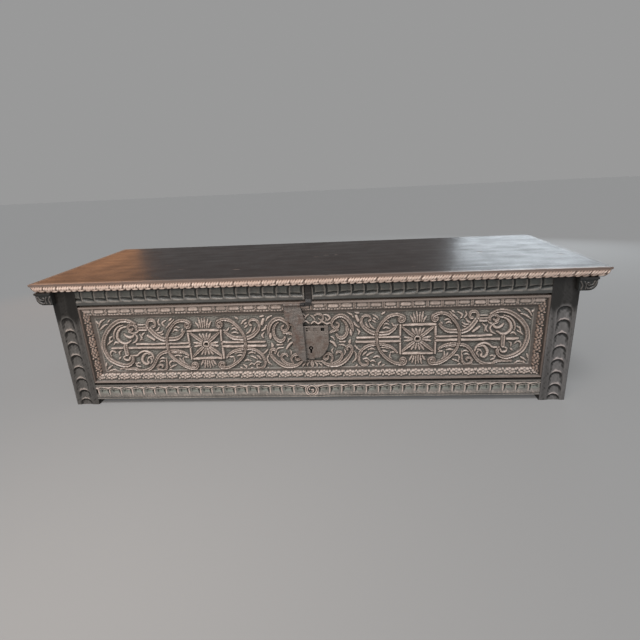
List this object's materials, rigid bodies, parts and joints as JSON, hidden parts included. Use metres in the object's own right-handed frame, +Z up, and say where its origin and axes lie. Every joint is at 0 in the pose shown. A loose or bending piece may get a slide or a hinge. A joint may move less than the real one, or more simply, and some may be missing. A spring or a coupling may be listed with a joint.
{
  "type": "cassone chest",
  "caption": "Long low joined chest with a hinged lid, carved framed front panel, corner posts as feet, iron lock plate and hanging hasp.",
  "frame": {"origin": "on the floor under the middle of the bounding box", "axes": "+X to the right along the chest seen from the front, +Y from the carved front to the back, +Z up"},
  "size_m": [1.65, 0.613, 0.412],
  "materials": {
    "wood_carved": "dark carved walnut, waxed, rubbed reddish on the high spots, grey-green dust in the hollows",
    "wood_lid": "dark chocolate polish, semi-gloss, scratched",
    "wood_plain": "plain sawn and planed boards, dull",
    "iron": "forged, brown-grey, rubbed",
    "iron_bright": "worn steel pin"
  },
  "bodies": {
    "case": {"back_board": "wood_plain", "bottom_board_front": "wood_plain", "bottom_board_middle": "wood_plain", "bottom_board_rear": "wood_plain", "bottom_rail_front": "wood_carved", "end_board_left": "wood_plain", "end_board_right": "wood_plain", "floor_batten_front": "wood_plain", "floor_batten_left": "wood_plain", "floor_batten_rear": "wood_plain", "floor_batten_right": "wood_plain", "frame_moulding_bottom": "wood_carved", "frame_moulding_left": "wood_carved", "frame_moulding_right": "wood_carved", "frame_moulding_top": "wood_carved", "front_panel": "wood_carved", "hinge_leaf_case_left": "iron", "hinge_leaf_case_right": "iron", "hinge_nails_case": "iron", "hinge_pin_left": "iron", "hinge_pin_right": "iron", "key_pin": "iron_bright", "lock_case": "iron", "lock_plate": "iron", "lock_plate_nails": "iron", "stile_front_left": "wood_carved", "stile_front_right": "wood_carved", "stile_rear_left": "wood_plain", "stile_rear_right": "wood_plain", "tenon_pegs": "wood_plain", "top_rail_front": "wood_carved"},
    "lid": {"lid_board": "wood_lid", "lid_front_strip": "wood_carved", "lid_cleat_left": "wood_carved", "lid_cleat_right": "wood_carved", "cleat_nails": "iron", "hinge_leaf_lid_left": "iron", "hinge_leaf_lid_right": "iron", "hinge_nails_lid": "iron", "hasp_strap": "iron", "hasp_strap_nails": "iron", "hasp_pin": "iron"},
    "hasp": {"hasp": "iron", "hasp_staple": "iron"},
    "bolt": {"lock_bolt": "iron"}
  },
  "joints": [
    {"name": "lid_hinge", "type": "hinge", "parent": "case", "child": "lid", "pos_m": [0, 0.3005, 0.39], "axis": [-1, 0, 0], "range_deg": [0, 100]},
    {"name": "hasp_swing", "type": "hinge", "parent": "lid", "child": "hasp", "pos_m": [-0.0495, -0.286, 0.324], "axis": [-1, 0, 0], "range_deg": [0, 100]},
    {"name": "bolt_slide", "type": "slide", "parent": "case", "child": "bolt", "axis": [-1, 0, 0], "range_m": [0, 0.013]}
  ]
}
